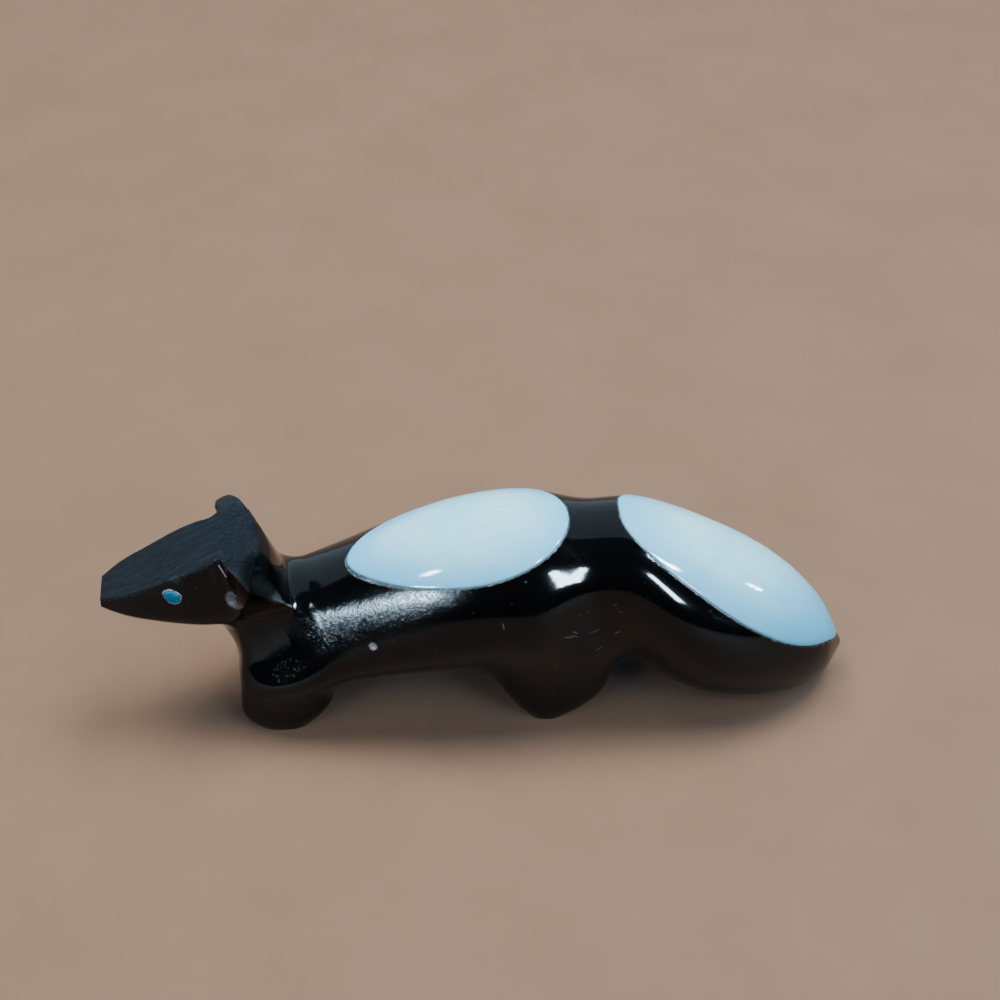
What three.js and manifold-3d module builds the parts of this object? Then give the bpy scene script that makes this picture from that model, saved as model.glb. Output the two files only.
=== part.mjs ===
import * as THREE from 'three';
import { mergeVertices } from 'three/addons/utils/BufferGeometryUtils.js';
import Module from 'manifold-3d';

// Carved stone skunk with two shell inlays and two turquoise eyes.
// Millimetres, +Z up. The nose points along -X and the tail tip along +X.

// Driving dimensions, in millimetres
const length = 75.5;
const inlayThickness = 1.6;
const inlayProud = 0.12;
const seamGap = 0.3;
const tailTipWall = 0.9;
const eyeDiameter = 1.5;
const eyeDepth = 1.1;
const eyeProud = 0.1;
const eyeGap = 0.28;

// The stone is a free form, so its shape is drawn in hundredths of its length:
// x runs from -50 at the nose to 50 at the tail tip, and z starts at the ground.
const unit = length / 100;

// Half-widths of the two inlays, and of the stone that holds them
const backInlayHalf = 8.4;
const backRim = 3.6;
const backHalf = backInlayHalf + backRim;
const tailInlayHalf = 9.4;
const tailRim = 2.3;
const tailHalf = tailInlayHalf + tailRim;

// Body and tail in one: x, top, widest height, underside, half-width, squareness (2 is an ellipse)
const bodyStations = [
  [-35, 17.4, 11.4, 7.2, 7.6, 2.1],
  [-30, 19.0, 11.3, 6.1, 8.9, 2.1],
  [-25, 20.8, 11.5, 5.9, 9.6, 2.1],
  [-20, 23.0, 12.5, 6.1, 10.1, 2.0],
  [-13, 26.5, 14.7, 6.9, backHalf * 0.9, 1.92],
  [-5.5, 29.4, 17.0, 7.4, backHalf * 0.967, 1.95],
  [1.8, 30.8, 18.6, 7.1, backHalf, 1.95],
  [7.8, 30.5, 19.2, 7.0, backHalf * 0.967, 2.0],
  [13.7, 29.2, 21.2, 7.4, backHalf * 0.758, 2.2],
  [18.3, 29.2, 21.4, 7.4, tailHalf * 0.795, 2.2],
  [24.3, 27.1, 17.4, 4.0, tailHalf * 0.957, 2.2],
  [30.3, 24.5, 12.9, 1.2, tailHalf, 2.1],
  [36.9, 20.8, 10.3, -0.3, tailHalf * 0.897, 2.05],
  [42.2, 16.6, 8.2, -0.3, tailHalf * 0.718, 2.05],
  [46.2, 12.0, 6.5, 0.9, tailHalf * 0.479, 2.05],
  [49.3, 7.2, 5.1, 2.9, tailHalf * 0.188, 2.05],
];
const tailTip = { x: 49.7, z: 4.9, rounding: 3.2 };
const chest = { x: -32.7, z: 7, bow: 0.04, sweep: 0.022, rounding: 3.6 };

// Slanted flank above the shoulder's edge, which runs between two points and rises by an angle
const shoulder = {
  front: [-28.5, 9.9, 9.4],
  rear: [-17, 10.9, 15.4],
  rise: THREE.MathUtils.degToRad(31),
};

// Legs: height, centre x, half-length, distance from the middle, half-width
const legs = [
  {
    top: 16.5,
    stations: [
      [0, -27.6, 4.0, 5.5, 2.9],
      [1.6, -27.6, 5.3, 5.6, 3.4],
      [4, -27.0, 6.2, 5.7, 3.8],
      [8, -26.5, 6.2, 5.6, 4.2],
      [12, -25.8, 5.9, 5.5, 4.9],
      [16, -24.8, 5.0, 4.9, 4.6],
    ],
  },
  {
    top: 18,
    stations: [
      [0, 8.3, 2.7, 5.6, 2.6],
      [1.6, 8.7, 4.4, 5.7, 3.1],
      [4, 9.1, 6.3, 5.9, 3.6],
      [8, 9.0, 8.1, 6.0, 4.2],
      [12, 9.1, 8.5, 6.0, 4.4],
      [17, 8.5, 7.2, 5.6, 4.4],
    ],
  },
];

// Head, along its own axis: x, height of the flat top, its half-width, cheek half-width, jaw
const headStations = [
  [-50.8, 21.2, 1.6, 2.0, 20.8],
  [-49.5, 21.9, 2.3, 2.6, 20.1],
  [-47.2, 23.0, 3.4, 3.8, 19.3],
  [-43.9, 24.5, 4.0, 4.7, 18.2],
  [-39.9, 26.4, 4.5, 5.6, 17.3],
  [-36.6, 27.7, 4.6, 6.0, 16.7],
  [-33.3, 28.9, 4.2, 5.8, 16.4],
  [-29.3, 29.5, 4.0, 5.0, 16.6],
  [-24.0, 29.5, 3.6, 4.2, 17.5],
];
const headTurn = THREE.MathUtils.degToRad(5);
const headPivot = -26.7;
const nose = -49.8;
const headRear = -21.5;
const cheekShare = 0.36;
const crown = {
  x: -28.7,
  z: 29.4,
  y: -2,
  bow: 0.034,
  slope: 2.6,
  flat: 4,
  nearDroop: 0.13,
  farDroop: 0.053,
  spare: 1.5,
};

// Near ear: a wedge with an edge from its front corner to its tip, and a ridge down to its foot
const nearEar = {
  corner: [-34.7, -4.0, 28.4],
  tip: [-30.4, -8.7, 26.5],
  foot: [-26.9, -6.5, 22.3],
  crest: [-28.9, -5.4, 28.6],
  down: [1.1, -1.2, -7.2],
  under: [-0.9, -0.42],
  floor: 19.6,
  rear: -25.2,
  groove: [[-34.9, -4.4, 31, 0.9], [-33.4, -7.2, 22.8, 1.2]],
};

// Far ear: balls of a centre and a radius, joined as cones
const farEar = {
  root: [-32.6, 3.4, 25.7, 3.1],
  tip: [-32.1, 8.0, 27.4, 1.9],
  foot: [-28.8, 5.0, 20, 1.3],
  groove: [[-35.6, 5.2, 30, 1.1], [-34.5, 7.1, 22.8, 1.35]],
};

// Fillet radii where two forms meet, and how square the sections of legs and jaw are
const fillet = {
  ear: 1.6,
  earRoot: 1.1,
  earRidge: 0.5,
  earRear: 1.2,
  groove: 0.6,
  headRear: 4,
  leg: 3.2,
  legTop: 4,
  shoulder: 0.9,
  throat: 6.2,
  midThroat: 14,
  nape: 2.4,
};
const midThroatReach = 5;
const squareness = { leg: 2.5, jaw: 2.4 };

// Inlay outlines seen from above: an oval with a fuller end, a blunter end and a shifted front
const backOutline = {
  x: -3.45,
  halfLength: 14.2,
  halfWidth: backInlayHalf,
  full: 0.25,
  blunt: 0,
  shift: -1.0,
};
const tailInlayHalfLength = 15.4;
const tipRim = 0.9;
const tailOutline = {
  x: tailTip.x - tipRim - tailInlayHalfLength,
  halfLength: tailInlayHalfLength,
  halfWidth: tailInlayHalf,
  full: 0,
  blunt: 0.3,
  shift: 1.8,
};
const eyePlace = { x: -40.3, z: 23.7 };

// Natural cubic spline through one column of a station table, level beyond its ends
function profile(stations, column) {
  const last = stations.length - 1;
  const bend = new Array(last + 1).fill(0);
  const slack = new Array(last + 1).fill(0);
  const gap = (i) => stations[i + 1][0] - stations[i][0];
  const rise = (i) => (stations[i + 1][column] - stations[i][column]) / gap(i);
  for (let i = 1; i < last; i += 1) {
    const pivot = 2 * (gap(i - 1) + gap(i)) - gap(i - 1) * slack[i - 1];
    slack[i] = gap(i) / pivot;
    bend[i] = (6 * (rise(i) - rise(i - 1)) - gap(i - 1) * bend[i - 1]) / pivot;
  }
  for (let i = last - 1; i > 0; i -= 1) {
    bend[i] -= slack[i] * bend[i + 1];
  }
  return (value) => {
    const x = Math.min(Math.max(value, stations[0][0]), stations[last][0]);
    let i = 0;
    while (i < last - 1 && x > stations[i + 1][0]) {
      i += 1;
    }
    const h = gap(i);
    const back = stations[i + 1][0] - x;
    const ahead = x - stations[i][0];
    return (bend[i] * back ** 3 + bend[i + 1] * ahead ** 3) / (6 * h)
      + (stations[i][column] / h - (bend[i] * h) / 6) * back
      + (stations[i + 1][column] / h - (bend[i + 1] * h) / 6) * ahead;
  };
}

const profiles = (stations) => stations[0].slice(1).map((_, i) => profile(stations, i + 1));
const bodyProfiles = profiles(bodyStations);
const legProfiles = legs.map((leg) => profiles(leg.stations));
const headProfiles = profiles(headStations);

// Signed fields: negative in the stone. join adds with a fillet, cut removes with a rounding.
function join(a, b, radius) {
  const overlap = Math.max(radius - Math.abs(a - b), 0);
  return Math.min(a, b) - overlap ** 2 / (4 * radius);
}

function cut(a, b, radius) {
  return -join(-a, -b, radius);
}

function oval(y, z, halfWidth, halfHeight, power) {
  const reach = Math.hypot(y, z) + 1e-9;
  const share = (Math.abs(y) / halfWidth) ** power + (Math.abs(z) / halfHeight) ** power;
  return reach * (1 - 1 / (share ** (1 / power) + 1e-9));
}

function cone(p, a, b) {
  const d = [b[0] - a[0], b[1] - a[1], b[2] - a[2]];
  const along = (p[0] - a[0]) * d[0] + (p[1] - a[1]) * d[1] + (p[2] - a[2]) * d[2];
  const t = THREE.MathUtils.clamp(along / (d[0] ** 2 + d[1] ** 2 + d[2] ** 2), 0, 1);
  const reach = Math.hypot(p[0] - a[0] - t * d[0], p[1] - a[1] - t * d[1], p[2] - a[2] - t * d[2]);
  return reach - a[3] - (b[3] - a[3]) * t;
}

function bodyField(x, y, z) {
  const inside = Math.min(x, tailTip.x - 0.02);
  const close = Math.min((tailTip.x - inside) / tailTip.rounding, 1);
  const share = Math.sqrt(1 - (1 - close) ** 2);
  const [top, widest, under, half, power] = bodyProfiles.map((at) => at(inside));
  const rise = z - tailTip.z - share * (widest - tailTip.z);
  const reach = rise > 0 ? top - widest : widest - under;
  const section = oval(y, rise, half * share, reach * share, power);
  const front = chest.x - x + chest.bow * y ** 2 + chest.sweep * (z - chest.z) ** 2;
  return cut(Math.max(section, x - tailTip.x), front, chest.rounding);
}

function legField(index, x, y, z) {
  const { top } = legs[index];
  const [centre, halfLength, side, halfWidth] = legProfiles[index].map((at) => at(Math.min(z, top)));
  const squash = halfLength / halfWidth;
  const across = (Math.abs(y) - side) * squash;
  const section = oval(x - centre, across, halfLength, halfLength, squareness.leg);
  return cut((0.8 * section) / Math.sqrt(Math.max(squash, 1)), z - top, fillet.legTop);
}

function toHead(x, y) {
  const turned = new THREE.Vector2(x - headPivot, y).rotateAround(new THREE.Vector2(), -headTurn);
  return [turned.x + headPivot, turned.y];
}

function fromHead(x, y) {
  const turned = new THREE.Vector2(x - headPivot, y).rotateAround(new THREE.Vector2(), headTurn);
  return [turned.x + headPivot, turned.y];
}

// Signed distance from a plane through a point, above zero on the side of its normal
function plane(p, point, normal) {
  const from = new THREE.Vector3(...p).sub(new THREE.Vector3(...point));
  return from.dot(normal) / normal.length();
}

function nearEarField(p) {
  const { corner, tip, foot, crest, down, under, floor, rear } = nearEar;
  const between = (a, b) => new THREE.Vector3(...b).sub(new THREE.Vector3(...a));
  const ridge = between(tip, foot);
  const face = between(corner, tip).cross(new THREE.Vector3(...down)).negate();
  const back = between(tip, foot).cross(between(tip, crest));
  const slant = -(under[0] * ridge.y + under[1] * ridge.z) / ridge.x;
  const ridgeUnder = plane(p, foot, new THREE.Vector3(slant, ...under));
  const wedge = cut(plane(p, corner, face), ridgeUnder, fillet.earRidge);
  const closed = Math.max(wedge, plane(p, tip, back), p[1], floor - p[2]);
  return cut(closed, p[0] - rear, fillet.earRear);
}

function farEarField(p) {
  const edge = join(cone(p, farEar.root, farEar.tip), cone(p, farEar.tip, farEar.foot), fillet.ear);
  return join(edge, cone(p, farEar.root, farEar.foot), fillet.ear);
}

function headField(x, y, z) {
  const [along, across] = toHead(x, y);
  const [roof, roofHalf, cheek, jaw] = headProfiles.map((at) => at(along));
  const half = (roof - jaw) * cheekShare;
  const rise = z - jaw - half;
  const share = THREE.MathUtils.clamp(rise / (roof - jaw - half), 0, 1.6);
  const side = Math.abs(across) - cheek + (cheek - roofHalf) * share ** 1.5;
  const lower = oval(across, (rise * cheek) / half, cheek, cheek, squareness.jaw);
  let field = Math.max(0.9 * (rise > 0 ? side : lower), nose - along);
  field = cut(field, along - headRear, fillet.headRear);
  const p = [along, across, z];
  field = join(field, farEarField(p), fillet.earRoot);
  field = join(field, nearEarField(p), fillet.earRoot);
  for (const ear of [nearEar, farEar]) {
    field = cut(field, -cone(p, ...ear.groove), fillet.groove);
  }
  const rear = z - crown.z + crown.slope * (along - crown.x + crown.bow * (across - crown.y) ** 2);
  return Math.max(field, 0.36 * rear, z - roof - crown.spare);
}

function shoulderField(x, y, z) {
  const [ahead, out, up] = shoulder.rear.map((value, axis) => value - shoulder.front[axis]);
  const [side, rise] = [Math.cos(shoulder.rise), Math.sin(shoulder.rise)];
  const normal = new THREE.Vector3(-(out * side + up * rise) / ahead, side, rise);
  return plane([x, Math.abs(y), z], shoulder.front, normal);
}

function stoneField(x, y, z) {
  let field = bodyField(x, y, z);
  legs.forEach((_, index) => {
    field = join(field, legField(index, x, y, z), fillet.leg);
  });
  field = cut(field, shoulderField(x, y, z), fillet.shoulder);
  const behind = THREE.MathUtils.smoothstep(z, 12, 22.5);
  const middle = 1 / (1 + (y / midThroatReach) ** 2) ** 2;
  const throat = THREE.MathUtils.lerp(fillet.throat, fillet.midThroat, middle);
  field = join(field, headField(x, y, z), THREE.MathUtils.lerp(throat, fillet.nape, behind));
  return Math.max(field, -z);
}

// Grid lines along one axis: each zone ends at a place and has a step of its own
function gridLines(start, zones) {
  const lines = [start];
  for (const [end, step] of zones) {
    const from = lines[lines.length - 1];
    const count = Math.round((end - from) / step);
    for (let i = 1; i <= count; i += 1) {
      lines.push(from + ((end - from) * i) / count);
    }
  }
  return lines;
}

// Grid of the stone's facets, how low a point snaps to the sole, a height above the stone
const gridMargin = 1.5;
const sideLimit = tailHalf + 1.8;
const alongZones = [[-22, 1.1], [-14, 2], [2, 3.2], [17, 2.1], [tailTip.x - 3, 3.3]];
const grid = [
  gridLines(nose - gridMargin, [...alongZones, [tailTip.x + 1.2, 1.05]]),
  gridLines(-sideLimit, [[3 - sideLimit, 1.5], [sideLimit - 3, 1.4], [sideLimit, 1.5]]),
  gridLines(-0.9, [[4.5, 1.08], [18, 2.25], [crown.z + 3, 1.2]]),
];
const soleSnap = 0.09;
const skyZ = 36;

function solve3(m, b) {
  const matrix = new THREE.Matrix3().set(m[0], m[1], m[2], m[1], m[3], m[4], m[2], m[4], m[5]);
  return new THREE.Vector3(...b).applyMatrix3(matrix.invert());
}

// Polygons of a field: one vertex in each cell that the surface crosses, set where the
// tangent planes of its crossings meet, so that creases stay sharp.
function polygonise(field, lines) {
  const size = lines.map((line) => line.length);
  const index = (c) => (c[0] * size[1] + c[1]) * size[2] + c[2];
  const place = (c) => c.map((value, axis) => lines[axis][value]);
  const values = new Float64Array(size[0] * size[1] * size[2]);
  const nodes = [];
  for (let i = 0; i < size[0]; i += 1) {
    for (let j = 0; j < size[1]; j += 1) {
      for (let k = 0; k < size[2]; k += 1) {
        nodes.push([i, j, k]);
        values[index([i, j, k])] = field(lines[0][i], lines[1][j], lines[2][k]);
      }
    }
  }

  const crossing = (from, to, inside) => {
    let [a, b] = [from, to];
    let middle = a;
    for (let step = 0; step < 18; step += 1) {
      middle = a.map((value, axis) => (value + b[axis]) / 2);
      if (field(...middle) < 0 === inside) {
        a = middle;
      } else {
        b = middle;
      }
    }
    return middle;
  };

  const slope = (p) => {
    const step = 0.02;
    const shifted = (axis, by) => field(...p.map((value, i) => value + (i === axis ? by : 0)));
    const rise = [0, 1, 2].map((axis) => shifted(axis, step) - shifted(axis, -step));
    return new THREE.Vector3(...rise).normalize();
  };

  const cells = new Map();
  const cellOf = (c) => {
    const key = index(c);
    if (!cells.has(key)) {
      cells.set(key, { c, m: [0, 0, 0, 0, 0, 0], b: [0, 0, 0], sum: [0, 0, 0], count: 0 });
    }
    return cells.get(key);
  };

  const quads = [];
  for (const c of nodes) {
    for (let axis = 0; axis < 3; axis += 1) {
      const next = c.map((value, i) => value + (i === axis ? 1 : 0));
      if (next[axis] >= size[axis]) {
        continue;
      }
      const inside = values[index(c)] < 0;
      if (inside === values[index(next)] < 0) {
        continue;
      }
      const p = crossing(place(c), place(next), inside);
      const n = slope(p);
      const level = n.x * p[0] + n.y * p[1] + n.z * p[2];
      const [u, v] = [(axis + 1) % 3, (axis + 2) % 3];
      const around = [[1, 1], [0, 1], [0, 0], [1, 0]].map(([du, dv]) => {
        const cell = cellOf(c.map((value, i) => value - (i === u ? du : 0) - (i === v ? dv : 0)));
        const terms = [n.x * n.x, n.x * n.y, n.x * n.z, n.y * n.y, n.y * n.z, n.z * n.z];
        terms.forEach((term, i) => {
          cell.m[i] += term;
        });
        n.toArray().forEach((value, i) => {
          cell.b[i] += value * level;
          cell.sum[i] += p[i];
        });
        cell.count += 1;
        return cell;
      });
      quads.push(inside ? around : around.reverse());
    }
  }

  const points = [];
  for (const cell of cells.values()) {
    const pull = 0.03 * cell.count;
    const m = cell.m.map((value, i) => value + ([0, 3, 5].includes(i) ? pull : 0));
    const b = cell.b.map((value, i) => value + (pull * cell.sum[i]) / cell.count);
    const found = solve3(m, b).toArray();
    const kept = found.map((value, axis) => {
      const line = lines[axis];
      return THREE.MathUtils.clamp(value, line[cell.c[axis]], line[cell.c[axis] + 1]);
    });
    kept[2] = kept[2] < soleSnap ? 0 : kept[2];
    cell.id = points.length;
    points.push(kept);
  }
  const triangles = quads.flatMap(([a, b, c, d]) => {
    const far = (e, f) => Math.hypot(...points[e.id].map((value, i) => value - points[f.id][i]));
    return far(a, c) < far(b, d)
      ? [[a.id, b.id, c.id], [a.id, c.id, d.id]]
      : [[a.id, b.id, d.id], [b.id, c.id, d.id]];
  });
  return { points, triangles };
}

// Heights of the upper and lower stone surface over a place seen from above
function upperZ(x, y) {
  let low = skyZ;
  while (stoneField(x, y, low) > 0 && low > 0) {
    low -= 0.5;
  }
  let high = low + 0.5;
  for (let step = 0; step < 24; step += 1) {
    const middle = (low + high) / 2;
    if (stoneField(x, y, middle) > 0) {
      high = middle;
    } else {
      low = middle;
    }
  }
  return low;
}

function lowerZ(x, y) {
  let low = 0;
  while (stoneField(x, y, low) > 0 && low < skyZ) {
    low += 0.25;
  }
  return low;
}

// A point of an inlay's outline seen from above, moved out by a margin
function outlinePoint(outline, angle, margin) {
  const at = (a) => {
    const front = (1 - Math.cos(a)) / 2;
    const width = Math.abs(Math.sin(a)) ** (1 + outline.blunt * Math.cos(a));
    const side = outline.halfWidth * width * (1 + outline.full * Math.cos(a));
    return new THREE.Vector2(
      outline.x + outline.halfLength * Math.cos(a),
      Math.sign(Math.sin(a)) * side + outline.shift * front ** 3,
    );
  };
  const tangent = at(angle + 0.02).sub(at(angle - 0.02)).normalize();
  return at(angle).add(new THREE.Vector2(tangent.y, -tangent.x).multiplyScalar(margin));
}

// Closed plate between two height functions over an outline, in rings round its middle.
// A margin adds one more ring outside the outline.
function plate(outline, margin, topAt, floorAt) {
  const turns = 40;
  const middle = new THREE.Vector2(outline.x, 0);
  const ringAt = (share, outside) => Array.from({ length: turns }, (_, turn) => {
    const rim = outlinePoint(outline, ((turn + 0.5) / turns) * 2 * Math.PI, outside);
    return rim.sub(middle).multiplyScalar(share).add(middle).toArray();
  });
  const shares = [1, 2, 3, 4].map((ring) => Math.sin((ring / 4) * (Math.PI / 2)));
  const plan = [middle.toArray(), ...shares.flatMap((share) => ringAt(share, 0))];
  if (margin > 0) {
    plan.push(...ringAt(1, margin));
  }
  const rings = (plan.length - 1) / turns;
  const points = [
    ...plan.map(([x, y]) => [x, y, topAt(x, y)]),
    ...plan.map(([x, y]) => [x, y, floorAt(x, y)]),
  ];
  const id = (ring, turn) => 1 + (ring - 1) * turns + (turn % turns);
  const triangles = [];
  const both = (a, b, c) => {
    triangles.push([a, b, c], [c + plan.length, b + plan.length, a + plan.length]);
  };
  for (let turn = 0; turn < turns; turn += 1) {
    both(0, id(1, turn), id(1, turn + 1));
    for (let ring = 1; ring < rings; ring += 1) {
      both(id(ring, turn), id(ring + 1, turn), id(ring + 1, turn + 1));
      both(id(ring, turn), id(ring + 1, turn + 1), id(ring, turn + 1));
    }
    const [a, b] = [id(rings, turn), id(rings, turn + 1)];
    triangles.push([a, a + plan.length, b + plan.length], [a, b + plan.length, b]);
  }
  return { points, triangles };
}

// Shell thickness is measured square to the surface, so its height grows on the flanks
function floorUnder(x, y, thickness) {
  const step = 0.3;
  const top = upperZ(x, y);
  const rise = Math.hypot(upperZ(x + step, y) - top, upperZ(x, y + step) - top) / step;
  const steep = Math.min(Math.hypot(1, rise), 1.7);
  return Math.max(top - (thickness / unit) * steep, lowerZ(x, y) + tailTipWall / unit);
}

function inlayShape(outline) {
  return plate(
    outline,
    0,
    (x, y) => upperZ(x, y) + inlayProud / unit,
    (x, y) => floorUnder(x, y, inlayThickness) + seamGap / unit,
  );
}

function pocketShape(outline) {
  return plate(
    outline,
    seamGap / unit,
    (x, y) => upperZ(x, y) + 3,
    (x, y) => floorUnder(x, y, inlayThickness),
  );
}

// All that lies above the flat sanded crown of the head
function crownCutter() {
  const { flat } = crown;
  const alongs = Array.from({ length: 13 }, (_, i) => nose - 2 + (i / 12) * (headRear + 3 - nose));
  const acrosses = [-11, -8.6, -6.8, -5.4, -flat, flat, 5.4, 6.8, 8.6, 11];
  const rows = acrosses.length;
  const under = alongs.flatMap((along) => acrosses.map((across) => {
    const bend = across < 0 ? crown.nearDroop : crown.farDroop;
    const droop = bend * Math.max(Math.abs(across) - flat, 0) ** 2;
    return [...fromHead(along, across), headProfiles[0](along) - droop];
  }));
  const points = [...under, ...under.map(([x, y]) => [x, y, skyZ])];
  const triangles = [];
  const wall = (a, b) => {
    triangles.push([b, a, a + under.length], [b, a + under.length, b + under.length]);
  };
  for (let i = 0; i < alongs.length - 1; i += 1) {
    for (let j = 0; j < rows - 1; j += 1) {
      const [a, b, c, d] = [i * rows + j, i * rows + j + 1, (i + 1) * rows + j + 1, (i + 1) * rows + j];
      triangles.push([a, b, c], [a, c, d]);
      triangles.push(...[[c, b, a], [d, c, a]].map((face) => face.map((id) => id + under.length)));
    }
    wall((i + 1) * rows, i * rows);
    wall(i * rows + rows - 1, (i + 1) * rows + rows - 1);
  }
  for (let j = 0; j < rows - 1; j += 1) {
    wall(j, j + 1);
    wall((alongs.length - 1) * rows + j + 1, (alongs.length - 1) * rows + j);
  }
  return geometryFrom({ points, triangles });
}

// A round plug square to the cheek at the eye, from a depth below the surface to a height above
function eyePlug(side, radius, depth, height) {
  const cheekAt = (along, z) => {
    let [low, high] = [0, 9];
    for (let step = 0; step < 24; step += 1) {
      const middle = (low + high) / 2;
      const [x, y] = fromHead(along, side * middle);
      if (stoneField(x, y, z) < 0) {
        low = middle;
      } else {
        high = middle;
      }
    }
    return new THREE.Vector3(...fromHead(along, side * low), z);
  };
  const { x: along, z } = eyePlace;
  const centre = cheekAt(along, z);
  const ahead = cheekAt(along + 0.4, z).sub(cheekAt(along - 0.4, z));
  const above = cheekAt(along, z + 0.4).sub(cheekAt(along, z - 0.4));
  const out = ahead.cross(above).normalize().multiplyScalar(-side);
  const geometry = new THREE.CylinderGeometry(radius, radius, depth + height, 16);
  const turn = new THREE.Quaternion().setFromUnitVectors(new THREE.Vector3(0, 1, 0), out);
  const middle = centre.multiplyScalar(unit).addScaledVector(out, (height - depth) / 2);
  return geometry.applyQuaternion(turn).translate(...middle.toArray());
}

const wasm = await Module();
wasm.setup();

function geometryFrom({ points, triangles }) {
  const geometry = new THREE.BufferGeometry();
  const place = points.flatMap((point) => point.map((value) => value * unit));
  geometry.setAttribute('position', new THREE.Float32BufferAttribute(place, 3));
  geometry.setIndex(triangles.flat());
  return geometry;
}

function toSolid(geometry) {
  const bare = geometry.clone();
  bare.deleteAttribute('normal');
  bare.deleteAttribute('uv');
  const merged = mergeVertices(bare, 1e-4);
  return new wasm.Manifold(new wasm.Mesh({
    numProp: 3,
    vertProperties: merged.getAttribute('position').array,
    triVerts: Uint32Array.from(merged.getIndex().array),
  }));
}

function fromSolid(solid) {
  const { vertProperties, triVerts } = solid.getMesh();
  const geometry = new THREE.BufferGeometry();
  geometry.setAttribute('position', new THREE.BufferAttribute(Float32Array.from(vertProperties), 3));
  geometry.setIndex(Array.from(triVerts));
  return geometry;
}

const materials = {
  stone: new THREE.MeshStandardMaterial({ color: 0x12100f, roughness: 0.12, metalness: 0 }),
  shell: new THREE.MeshStandardMaterial({ color: 0xd3e2e6, roughness: 0.18, metalness: 0 }),
  turquoise: new THREE.MeshStandardMaterial({ color: 0x1f9fb8, roughness: 0.35, metalness: 0 }),
};

const group = new THREE.Group();

function addPiece(name, geometry, material) {
  const mesh = new THREE.Mesh(geometry, material);
  mesh.name = name;
  geometry.computeVertexNormals();
  group.add(mesh);
}

function carvedStone() {
  const sockets = [-1, 1].map((side) => {
    const radius = eyeDiameter / 2 + eyeGap;
    return eyePlug(side, radius, eyeDepth + eyeGap, eyeDepth);
  });
  const pockets = [backOutline, tailOutline].map((outline) => geometryFrom(pocketShape(outline)));
  let stone = toSolid(geometryFrom(polygonise(stoneField, grid)));
  for (const tool of [crownCutter(), ...pockets, ...sockets]) {
    stone = stone.subtract(toSolid(tool));
  }
  return fromSolid(stone);
}

addPiece('stone_body', carvedStone(), materials.stone);
addPiece('back_inlay', geometryFrom(inlayShape(backOutline)), materials.shell);
addPiece('tail_inlay', geometryFrom(inlayShape(tailOutline)), materials.shell);
addPiece('left_eye', eyePlug(-1, eyeDiameter / 2, eyeDepth, eyeProud), materials.turquoise);
addPiece('right_eye', eyePlug(1, eyeDiameter / 2, eyeDepth, eyeProud), materials.turquoise);

export default group;
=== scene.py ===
import math
import bpy
import numpy as np
from mathutils import Matrix, Vector


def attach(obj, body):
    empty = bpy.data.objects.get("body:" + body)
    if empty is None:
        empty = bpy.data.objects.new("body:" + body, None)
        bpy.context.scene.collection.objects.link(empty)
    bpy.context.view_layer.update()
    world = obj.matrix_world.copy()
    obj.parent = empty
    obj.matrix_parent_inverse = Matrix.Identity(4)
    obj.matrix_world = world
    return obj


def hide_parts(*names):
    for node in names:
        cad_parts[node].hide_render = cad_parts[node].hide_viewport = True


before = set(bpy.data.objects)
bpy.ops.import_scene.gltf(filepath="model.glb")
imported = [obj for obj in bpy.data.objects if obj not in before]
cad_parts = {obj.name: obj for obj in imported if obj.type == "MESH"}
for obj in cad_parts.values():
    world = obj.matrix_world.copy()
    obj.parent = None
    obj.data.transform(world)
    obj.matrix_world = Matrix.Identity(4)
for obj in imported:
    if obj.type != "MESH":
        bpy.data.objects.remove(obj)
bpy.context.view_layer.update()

mm = .001
print("frame loaded:", ", ".join(sorted(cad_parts)))

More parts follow.
